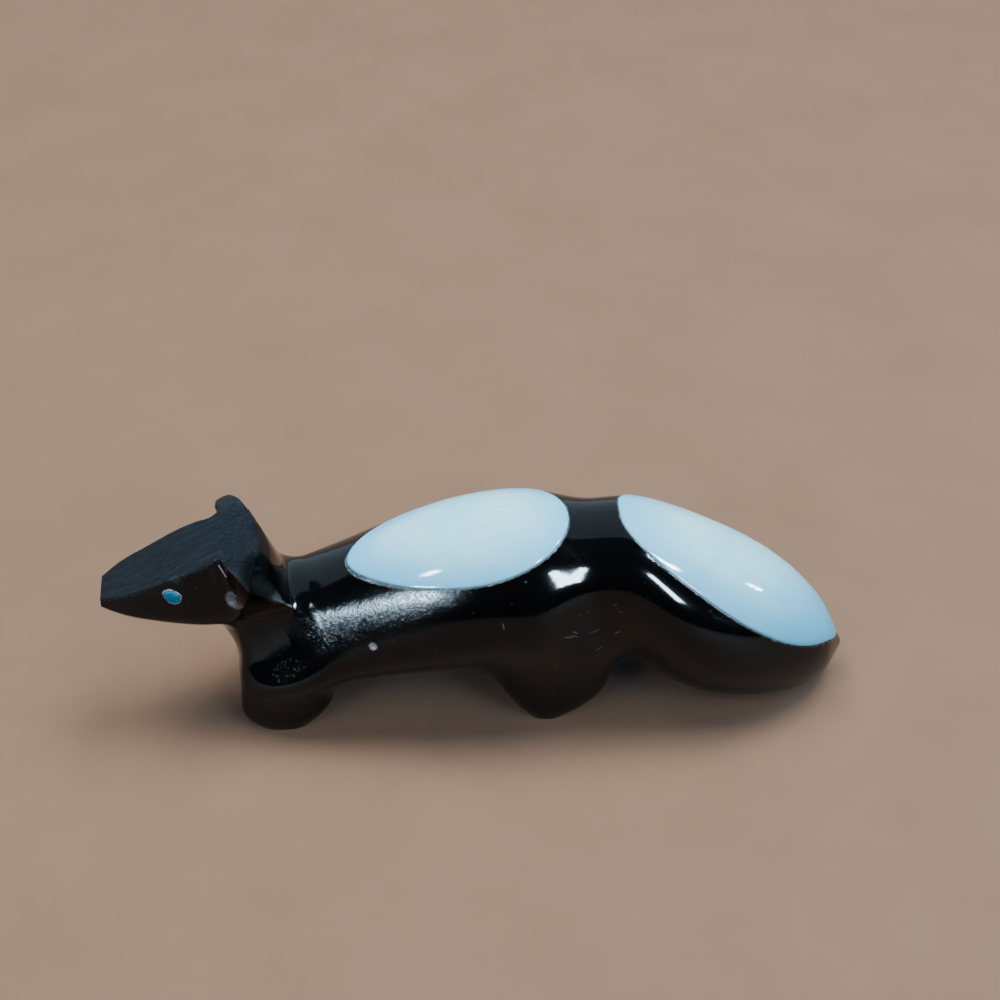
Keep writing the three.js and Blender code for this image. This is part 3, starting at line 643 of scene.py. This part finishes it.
def makeRim(name, seat, phase):   # pale adhesive round an eye
    form = rimForm
    turn = wholeTurn(form["turns"])
    inner, outer = eyeForm["radius"] - form["lap"], form["outer"]
    ragged = sum(size * np.sin(count * turn + share * phase) for size, count, share in form["waves"])
    rows = []
    for share in np.linspace(0, 1, form["rings"]):
        point, across = eyeOutline(seat, turn, phase, inner + (outer - inner) * share)
        point = point + across * (ragged * share)[:, None]
        rise = form["crown"] * math.sin(math.pi * min(share * form["crownShare"], 1))
        rise += form["lift"] * (1 - share) - form["sink"]
        rows.append(point + (rise - stone(*(point / unit).T) * unit)[:, None] * seat[1])
    for reach in (outer - form["foot"], inner):
        rows.append(eyeOutline(seat, turn, phase, reach)[0] - form["deep"] * seat[1])
    return loft(name, rows, False)


eyes, rims = [], []
for node, title, phase in (("left_eye", "leftEye", .4), ("right_eye", "rightEye", 1.9)):
    piece = makeEye(title + "Stone", eyeSeats[node], phase)
    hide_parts(node)
    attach(piece, "root")
    eyes.append(piece)
    piece = makeRim(title + "Rim", eyeSeats[node], phase)
    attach(piece, "root")
    rims.append(piece)
print("inlays, seams, eyes and rims made")


# Finishes
class Wire:   # one socket; arithmetic on it adds Math nodes
    def __init__(self, paint, socket):
        self.paint, self.socket = paint, socket

    def sum(self, operation, *terms):
        return self.paint.node("Math", {"operation": operation}, dict(enumerate(terms)))

    def __add__(self, other):
        return self.sum("ADD", self, other)

    def __sub__(self, other):
        return self.sum("SUBTRACT", self, other)

    def __rsub__(self, other):
        return self.sum("SUBTRACT", other, self)

    def __mul__(self, other):
        return self.sum("MULTIPLY", self, other)

    def over(self, other):
        return self.sum("MAXIMUM", self, other)

    def under(self, other):
        return self.sum("MINIMUM", self, other)

    def step(self, low, high):   # 0 below low, 1 above high, smooth between
        settings = {"interpolation_type": "SMOOTHSTEP"}
        return self.paint.node("MapRange", settings, {"Value": self, "From Min": low, "From Max": high})

    __radd__ = __add__
    __rmul__ = __mul__


class Paint:
    speckCore, speckFade, strokeCore = .5, .02, .3

    def __init__(self, name):
        self.material = bpy.data.materials.new(name)
        self.material.use_nodes = True
        self.tree = self.material.node_tree
        self.surface = self.tree.nodes["Principled BSDF"]
        self.place = self.scaled(self.node("TexCoord", output="Object"), 1 / mm)   # mm

    def put(self, socket, value):
        if isinstance(value, Wire):
            self.tree.links.new(value.socket, socket)
        else:
            socket.default_value = value

    def node(self, kind, settings=None, inputs=None, output=0):
        made = self.tree.nodes.new("ShaderNode" + kind)
        for name, value in (settings or {}).items():
            setattr(made, name, value)
        for key, value in (inputs or {}).items():
            self.put(made.inputs[key], value)
        return Wire(self, made.outputs[output])

    def noise(self, scale, detail=2, rough=.5, place=None, warp=0):
        return self.node("TexNoise", None, {"Vector": place or self.place, "Scale": scale, "Detail": detail,
                                            "Roughness": rough, "Distortion": warp})

    def brushed(self, detail, rough, size, turn, warp=0):   # noise drawn out along a turned axis
        place = self.node("Mapping", {"vector_type": "TEXTURE"},
                          {"Vector": self.place, "Rotation": turn, "Scale": size})
        return self.noise(1, detail, rough, place, warp)

    def specks(self, scale, radius, keep):   # round dots in a share of the cells
        inputs = {"Vector": self.place, "Scale": scale}
        far = self.node("TexVoronoi", None, inputs, "Distance")
        tint = self.node("TexVoronoi", None, inputs, "Color")
        pick = self.node("SeparateColor", None, {0: tint}, 0)
        kept = pick.step(1 - keep, 1 - keep + self.speckFade)
        return (1 - far.step(radius * self.speckCore, radius)) * kept

    def value(self, label):
        return self.node("Attribute", {"attribute_name": label}, None, "Fac")

    def mix(self, first, second, share):
        return self.node("Mix", {"data_type": "RGBA"}, {0: share, 6: first, 7: second}, 2)

    def vector(self, operation, first, second, output=0):
        return self.node("VectorMath", {"operation": operation}, {0: first, 1: second}, output)

    def scaled(self, vector, factor):
        return self.node("VectorMath", {"operation": "SCALE"}, {0: vector, "Scale": factor})

    def near(self, point, radius, soft, ragged=0):   # 1 within radius mm of a point
        return 1 - (self.vector("DISTANCE", self.place, point, "Value") + ragged).step(radius - soft, radius)

    def stroke(self, start, end, width, ragged=0):   # 1 along a straight line between two points
        reach = np.subtract(end, start)
        passed = self.vector("SUBTRACT", self.place, start)
        along = self.vector("DOT_PRODUCT", passed, tuple(reach / (reach @ reach)), "Value")
        foot = self.scaled(tuple(reach), along.over(0).under(1))
        far = self.vector("DISTANCE", self.place, self.vector("ADD", foot, start), "Value")
        return 1 - (far + ragged).step(width * self.strokeCore, width)

    def bump(self, height, strength, distance=.0001):
        return self.node("Bump", None, {"Height": height, "Strength": strength, "Distance": distance})

    def feed(self, **inputs):
        for name, value in inputs.items():
            self.put(self.surface.inputs[name.replace("_", " ")], value)


def rgb(*values):
    return (*values, 1)


stoneLook = {
    "black": rgb(.0014, .0019, .0026), "clouded": rgb(.0021, .0022, .0024), "crest": rgb(.006, .006, .006),
    "sanded": rgb(.0015, .0030, .0064), "sandedPale": rgb(.021, .028, .038), "speck": rgb(.16, .18, .20),
    "chip": rgb(.14, .145, .18), "chipsAndHighlights": rgb(.42, .44, .50), "wearAndHighlights": rgb(.09, .11, .125),
    "polish": .085, "satin": .16, "sandedRough": .42, "crestRough": .44, "chipRough": .55, "gloss": .26,
    "fine": (7, 3, .6), "broad": (.22, 3, .55), "grit": (3.6, 3, .75),   # scale, detail, roughness
    "lines": (4, .8, (5, .09, .09), (0, -.36, .22)), "cross": (3, .7, (.2, 2.4, .2), (.2, 0, .5)),
    "hairs": (2, .6, (5, .11, .11), (0, .5, .7)), "hairsUp": (2, .6, (.12, 4, .12), (.6, .2, 0)),
    "dots": (.8, .06, .30), "smallDots": (2.1, .12, .08),   # scale, radius, share of the cells
    "edgeNoise": .12, "edgeFade": .07, "bump": (.5, .00006),
    "band": ((-15, -6.2, 13.5), (-3.5, -6.3, 19.2), 4), "bandFoot": ((-17.3, -5.2, 13.9), 3, 2),
    "spots": {   # place in mm, radius, fade, raggedness, strength
        "earBreak": ((-24.1, -5, 17.45), 1.15, .25, .5, 1),
        "earHollow": ((-23.75, -5.25, 17.75), .72, .3, .3, .75),
        "earGlint": ((-23.88, -5.3, 18.34), .22, .1, .2, .7),
        "cheekScuff": ((-29.5, -4.3, 19.75), .6, .4, .8, .16),
        "flankBreak": (chipForm["flank"]["at"], .62, .2, .5, .8),
        "ringOuter": ((-10.92, -6.63, 14.11), .36, .08, 0, .5),
        "ringInner": ((-10.92, -6.63, 14.11), .22, .08, 0, 1),
        # painted shade: the black matte mix below darkens the reflections here, in the hollow behind the near
        # ear, at the nape and on the neck's side
        "shadeBehindEar": ((-21.3, -4.7, 20), 3.3, 1.4, 0, .88),
        "nape": ((-20.3, 0, 21.5), 3.4, 1.8, 0, .5),
        "shadeOnNeckSide": ((-17, -5, 14.4), 2.4, 3.2, 0, .55),
    },
    # painted highlight: a thin bright line along the polished groove in front of the near ear
    "earGrooveHighlight": ((-25.32, -3.87, 20.95), (-24.73, -4.35, 19.94), .13, .25),   # ends, width, raggedness
    "legEdge": ((-19.72, -7.13, 8.15), (-18.05, -7, 9.37), .22, .5),
    "marksAndHighlights": [   # ends in mm, width, strength
        (1.5, -8.69, 16.67, 1.59, -8.84, 16.1, .13, .7), (7.5, -8.15, 14.05, 8.2, -7.95, 13.75, .17, .75),
        (8.2, -7.9, 13.9, 8.75, -7.65, 13.6, .12, .8), (8.4, -7.75, 14.3, 8.75, -7.65, 14, .13, .9),
        (10.1, -7.2, 13.5, 10.97, -6.95, 13.65, .07, .7), (12.6, -6.71, 12.8, 13, -6.74, 13.1, .12, .8),
        (10.75, -7.34, 11.2, 11.24, -7.17, 11.4, .09, .6), (6.5, -8.2, 9.75, 6.95, -8.21, 10.1, .07, .5),
        (9.79, -7.02, 16.21, 9.85, -7, 16.2, .12, .5), (9.09, -7.29, 16.11, 9.12, -7.27, 16.1, .12, .55),
        (12.85, -6.83, 15.87, 13.25, -6.83, 15.85, .1, .7), (12.4, -6.75, 16.76, 12.6, -6.75, 16.76, .1, .6),
        (7.15, -8.37, 13.32, 7.18, -8.36, 13.3, .1, .6), (11.98, -6.95, 8.47, 12.02, -6.95, 8.5, .1, .6),
        (6.6, -7.6, 5.35, 6.65, -7.6, 5.4, .12, .6), (-3.32, -7.51, 17.07, -3.2, -7.5, 17.05, .1, .8),
        (-6.1, -8.25, 13.73, -5.6, -8.19, 14.3, .08, .9), (-12.88, -7.24, 11.91, -12.4, -7.44, 11.68, .1, .5),
        (-18.12, -6.61, 9.96, -17.93, -6.87, 9.65, .06, .6),
        (-17.93, -6.87, 9.65, -17.51, -6.76, 10.09, .06, .6),
        (-21.73, -4.67, 11.39, -20.7, -4.76, 11.85, .08, .35),
        # from the stroke starting at (-22.79, -6.4, 19.84) on: painted highlights, three along the near ear's
        # lower ridge and the last on the top facet's edge above the cheek's scuff
        (-21.4, -4.17, 13.11, -20.7, -4.16, 13.65, .06, .3), (-22.79, -6.4, 19.84, -21.86, -6.2, 18.94, .1, .7),
        (-21.86, -6.2, 18.94, -20.87, -5.53, 17.84, .08, .4),
        (-20.87, -5.53, 17.84, -20.14, -4.93, 16.82, .12, 1), (-29.9, -4.3, 20.15, -29.1, -4.3, 20.45, .1, .8),
    ],
}


def paintStone():
    look, paint = stoneLook, Paint("polishedBlackStone")
    fine, broad, grit = (paint.noise(*look[name]) for name in ("fine", "broad", "grit"))
    ragged = fine - .5

    def spot(name):
        point, radius, soft, uneven, share = look["spots"][name]
        return paint.near(point, radius, soft, ragged * uneven) * share

    # a painted line between two listed ends, used for the ear groove's painted highlight and for the leg's edge
    # mark
    def edgeLine(name):
        start, end, width, uneven = look[name]
        return paint.stroke(start, end, width, ragged * uneven)

    facet, crest = ((paint.value(label) + ragged * look["edgeNoise"]).step(0, look["edgeFade"])
                    for label in ("facet", "crest"))
    # satin speckle along the near shoulder and flank
    band = paint.stroke(*look["band"]).over(paint.near(*look["bandFoot"]))
    satin = band * (broad * .4 + fine * .6).step(.30, .52)
    # fine sanding lines along the head and across the plane behind it
    lines, cross = paint.brushed(*look["lines"]), paint.brushed(*look["cross"])
    hairs = paint.brushed(*look["hairs"]).step(.67, .71).over(paint.brushed(*look["hairsUp"]).step(.69, .72))
    hairs = hairs * broad.step(.48, .66)
    dots = paint.specks(*look["dots"]).over(paint.specks(*look["smallDots"]))
    broken = fine.step(.25, .6)
    chipped = (spot("earBreak") * (1 - spot("earHollow"))).over(spot("cheekScuff"))
    ring = spot("ringOuter") * (1 - spot("ringInner"))
    # pale chip faces and the chip's ring, together with painted highlights: a glint on the near ear's chip and
    # a bright line along the groove in front of the near ear
    chipsAndHighlights = (spot("flankBreak") * broken).over(spot("earGlint")).over(edgeLine("earGrooveHighlight")).over(ring)
    # scratches and edge wear, together with the painted highlights on the near ear's ridge and on the facet's
    # edge, all in one grey layer
    wearAndHighlights = edgeLine("legEdge")
    for *ends, width, strength in look["marksAndHighlights"]:
        wearAndHighlights = wearAndHighlights.over(paint.stroke(ends[:3], ends[3:], width * .8, ragged * width) * strength)
    colour = paint.mix(look["black"], look["clouded"], broad)
    gray = paint.mix(look["sanded"], look["sandedPale"], lines.step(.50, .64))
    layers = ((look["crest"], crest * .8), (gray, facet), (look["speck"], (dots * .35).over(hairs * .10)),
              (look["chip"], chipped * broken), (look["wearAndHighlights"], wearAndHighlights), (look["chipsAndHighlights"], chipsAndHighlights))
    for layer, share in layers:
        colour = paint.mix(colour, layer, share)
    rough = (look["polish"] + (broad - .5) * .03) + satin * (look["satin"] - look["polish"])
    rough = rough + hairs * .10 + wearAndHighlights * .2
    for part, finish in ((facet, "sandedRough"), (crest, "crestRough")):
        rough = rough + part * (look[finish] - look["polish"])
    for chip in chipForm.values():
        rough = rough.over(paint.near(chip["at"], chip["radius"] * 1.5, .2) * look["chipRough"])
    height = grit.step(.40, .80) * satin * .32 + fine * .012 + lines * facet * .35 + cross * crest * .3
    height = height - hairs * .1 - chipped * fine * .4
    paint.feed(Base_Color=colour, Roughness=rough, Normal=paint.bump(height, *look["bump"]),
               IOR=1.5, Specular_IOR_Level=look["gloss"])
    # the sanded planes shine less; painted shade darkens the hollow behind the near ear, the nape and the
    # neck's side by mixing in black matte
    dullAndShaded = (crest * .45).over(facet * .25)
    for name in ("shadeBehindEar", "nape", "shadeOnNeckSide"):
        dullAndShaded = dullAndShaded.over(spot(name))
    matt = paint.node("BsdfDiffuse", None, {"Color": look["black"]})
    polished = Wire(paint, paint.surface.outputs[0])
    mixed = paint.node("MixShader", None, {0: dullAndShaded, 1: polished, 2: matt})
    paint.put(paint.tree.nodes["Material Output"].inputs["Surface"], mixed)
    return paint.material


shellLook = {
    "pale": rgb(.29, .80, 1), "white": rgb(.47, .86, 1), "cool": rgb(.08, .50, .88),
    "streak": rgb(.20, .64, .88), "stain": rgb(.52, .30, .12), "smudge": rgb(.33, .36, .36),
    "rough": .07, "bump": (.18, .00006), "growth": (4, .6, (9, 1, 1.6)), "threads": (5, .7, (7, .20, .35)),
    # each pearl's last entry is painted shade: a darker, cooler patch on its low near side
    "backPearl": dict(lean=(0, -.12, .06), edge=.5, thread=.3, shadedLowSide=((-15, -6, 17), 12, 11)),
    "tailPearl": dict(lean=(0, .68, .06), edge=.4, thread=.7, shadedLowSide=((36, -6, 6), 15, 14)),
    "smudgeSpot": ((5.03, -.09, 23.25), .75, .5), "stainSpot": ((20.37, 2.46, 19.35), .5, .35),   # mm
    "paleStrokes": [   # ends in mm, width, strength
        (19.6, 2.3, 19.75, 21.6, 2.7, 18.7, .5, 1), (26.5, 1.8, 16.4, 27.8, 2.1, 15.4, .55, .7),
        (31.2, 2.5, 12.7, 32.4, 2.6, 11.4, .5, .6),
    ],
}


def paintShell(name):
    look, paint = shellLook, Paint(name)
    own = look[name]
    fine = paint.noise(5, 3, .6)
    ragged = fine - .5
    soft = paint.noise(.16, 3, .5, warp=.8)
    growth = paint.brushed(*look["growth"], own["lean"], .5)
    threads = paint.brushed(*look["threads"], own["lean"], .3)
    edge = paint.value("share").step(own["edge"], 1.02)
    colour = paint.mix(look["pale"], look["white"], soft.step(.30, .70))
    # painted shade: the low near side turns darker and cooler
    colour = paint.mix(colour, look["cool"], paint.near(*own["shadedLowSide"]) * .8)
    colour = paint.mix(colour, look["cool"], (growth.step(.44, .80) * .3).over(edge * .7))
    colour = paint.mix(colour, look["streak"], threads.step(.55, .72) * own["thread"])
    if name == "tailPearl":
        stain = paint.near(*look["stainSpot"], ragged * .5)
        colour = paint.mix(colour, look["stain"], stain * .45)
        for *ends, width, strength in look["paleStrokes"]:
            share = paint.stroke(ends[:3], ends[3:], width, ragged * .6) * strength
            colour = paint.mix(colour, look["white"], share * .7)
    else:
        smudge = paint.near(*look["smudgeSpot"]) * fine.step(.52, .60)
        colour = paint.mix(colour, look["smudge"], smudge * .6)
    rough = look["rough"] + ragged * .04 + (growth - .5) * .06
    height = growth * .5 + threads * .22 + fine * .04
    paint.feed(Base_Color=colour, Roughness=rough, Normal=paint.bump(height, *look["bump"]),
               IOR=1.53, Specular_IOR_Level=.4)
    return paint.material


seamLook = {
    "dark": rgb(.010, .012, .014), "glint": rgb(.75, .8, .82), "pale": rgb(.10, .135, .155), "rough": .4,
    # painted highlight: the tail seam's right end and lower rim turn paler with stronger glitter; the back
    # seam's patch is frosted
    "litTailEnd": ((33.8, -4.7, 7.4), 4.5, 3), "frostedBack": ((-11.5, -5, 17.5), 5, 3),   # mm
    "litTailRim": ((16, -6, 17.5), (33, -5.5, 9), 3), "glints": (3.2, .30, .5), "smallGlints": (6, .34, .3),
}


def paintSeam():
    look, paint = seamLook, Paint("glitteredAdhesive")
    cloud = paint.noise(.5, 3, .6)
    # paler, more glittering seam: frosted on the back, a painted highlight at the tail's right end and along
    # its lower rim
    frostedAndLit = paint.near(*look["litTailEnd"]).over(paint.near(*look["frostedBack"]) * .25)
    frostedAndLit = frostedAndLit.over(paint.stroke(*look["litTailRim"]) * .8)
    glints = paint.specks(*look["glints"]).over(paint.specks(*look["smallGlints"]))
    colour = paint.mix(look["dark"], look["pale"], cloud.step(.40, .62).over(frostedAndLit))
    colour = paint.mix(colour, look["glint"], glints * (.35 + frostedAndLit * .5))
    paint.feed(Base_Color=colour, Roughness=look["rough"] - glints * .2,
               Normal=paint.bump(paint.noise(6, 3, .6) + glints, .5))
    return paint.material


eyeLook = {
    "blue": rgb(.0002, .16, .32), "deep": rgb(.0001, .09, .18), "light": rgb(.001, .24, .42),
    "rough": .45, "gloss": .12,
}


def paintEye():
    look, paint = eyeLook, Paint("turquoise")
    mottle = paint.noise(1.8, 4, .6)
    vein = paint.noise(3.1, 4, .7, warp=1.2)
    colour = paint.mix(look["blue"], look["light"], mottle.step(.5, .75))
    colour = paint.mix(colour, look["deep"], vein.step(.58, .68) * .7)
    paint.feed(Base_Color=colour, Roughness=look["rough"] + (mottle - .5) * .2,
               Normal=paint.bump(mottle + vein, .3, .00005), Specular_IOR_Level=look["gloss"])
    return paint.material


rimLook = {"pale": rgb(.20, .26, .29), "grey": rgb(.03, .04, .045), "rough": .45}


def paintRim():
    look, paint = rimLook, Paint("paleAdhesive")
    cloud = paint.noise(2.6, 4, .65)
    colour = paint.mix(look["grey"], look["pale"], cloud.step(.40, .56))
    rough = look["rough"] + (cloud - .5) * .2
    paint.feed(Base_Color=colour, Roughness=rough, Normal=paint.bump(cloud, .5))
    return paint.material


floorForm = {"side": 1600, "near": -600, "far": 2200}   # mm
floorLook = {"base": rgb(.222, .123, .076), "deep": rgb(.19, .102, .062), "rough": .75, "gloss": .2}


def paintFloor():
    look, paint = floorLook, Paint("paleFloor")
    cloud = paint.noise(.06, 4, .6)
    grain = paint.noise(1.6, 3, .6)
    colour = paint.mix(look["base"], look["deep"], cloud.step(.35, .7) * .5 + grain.step(.5, .8) * .2)
    paint.feed(Base_Color=colour, Roughness=look["rough"] + (cloud - .5) * .1,
               Normal=paint.bump(grain, .12), Specular_IOR_Level=look["gloss"])
    return paint.material


stoneObject.data.materials.append(paintStone())
inlays["backShell"].data.materials.append(paintShell("backPearl"))
inlays["tailShell"].data.materials.append(paintShell("tailPearl"))
adhesive, blue, pale = paintSeam(), paintEye(), paintRim()
for group, finish in ((seams, adhesive), (eyes, blue), (rims, pale)):
    for piece in group:
        piece.data.materials.append(finish)
print("finishes made")


# Floor, lights and camera
side, near, far = floorForm["side"], floorForm["near"], floorForm["far"]
floorCorners = [(-side, near, 0), (side, near, 0), (side, far, 0), (-side, far, 0)]
floor = makeObject("floor", floorCorners, [(0, 1, 2, 3)])
floor.data.materials.append(paintFloor())

lampForm = {   # bearing from the camera's side, height, width, tall, radiance
    "leftSoft": (-42, 40, .3, .3, 3.4), "rightSoft": (45, 45, .3, .3, 4.4),
    "keySoft": (120, 70, .28, .28, 19), "backSoft": (-120, 70, .28, .28, 16),
    "leftGlint": (-39, 25, .085, .08, 330), "highGlint": (-55, 48, .03, .05, 220),
    "rightGlint": (38, 34, .065, .24, 240), "rearGlint": (89, 48, .05, .13, 330),
    "sideGlint": (98, 24, .03, .05, 200),
}
lampTints = {"Soft": (.80, .93, 1), "Glint": (.58, .82, 1)}
lampDistance = .6
wallForm = (0, 1.15, .86), 3.6, 2.2, 1.05, (.62, .84, 1)   # place, width, tall, radiance, tint
aim = Vector((0, 0, .012))


def makeLamp(name, where, width, tall, radiance, tint):
    data = bpy.data.lights.new(name, "AREA")
    data.shape, data.size, data.size_y = "RECTANGLE", width, tall
    data.energy, data.color = radiance * math.pi * width * tall, tint
    lamp = bpy.data.objects.new(name, data)
    lamp.location = where
    lamp.rotation_euler = (aim - Vector(where)).to_track_quat("-Z", "Y").to_euler()
    lamp.visible_camera = False
    bpy.context.scene.collection.objects.link(lamp)
    return lamp


for name, (bearing, rise, width, tall, radiance) in lampForm.items():
    a, e = math.radians(bearing), math.radians(rise)
    way = Vector((math.sin(a) * math.cos(e), -math.cos(a) * math.cos(e), math.sin(e)))
    kind = "Glint" if "Glint" in name else "Soft"
    lamp = makeLamp(name, aim + lampDistance * way, width, tall, radiance, lampTints[kind])
    lamp.visible_glossy, lamp.visible_diffuse = kind == "Glint", kind == "Soft"
wall = makeLamp("farWall", *wallForm)
wall.visible_diffuse = False

worldLook = {"colour": rgb(.46, .5, .56), "strength": .02}
world = bpy.data.worlds.new("studio")
world.use_nodes = True
background = world.node_tree.nodes["Background"]
background.inputs["Color"].default_value = worldLook["colour"]
background.inputs["Strength"].default_value = worldLook["strength"]
bpy.context.scene.world = world

cameraForm = {
    "place": (-4.02246, -115.18819, 124.25841),   # mm
    "right": (.998793, -.049117, 0), "up": (.032083, .652411, .757186), "back": (-.037190, -.756272, .653200),
    "lens": 57.09, "sensor": 36, "clip": (.01, 20),
}
cameraData = bpy.data.cameras.new("camera")
cameraData.lens, cameraData.sensor_width = cameraForm["lens"], cameraForm["sensor"]
cameraData.clip_start, cameraData.clip_end = cameraForm["clip"]
camera = bpy.data.objects.new("camera", cameraData)
turned = Matrix([cameraForm["right"], cameraForm["up"], cameraForm["back"]]).transposed().to_4x4()
camera.matrix_world = Matrix.Translation(Vector(cameraForm["place"]) * mm) @ turned
bpy.context.scene.collection.objects.link(camera)
bpy.context.scene.camera = camera

print("stage made")
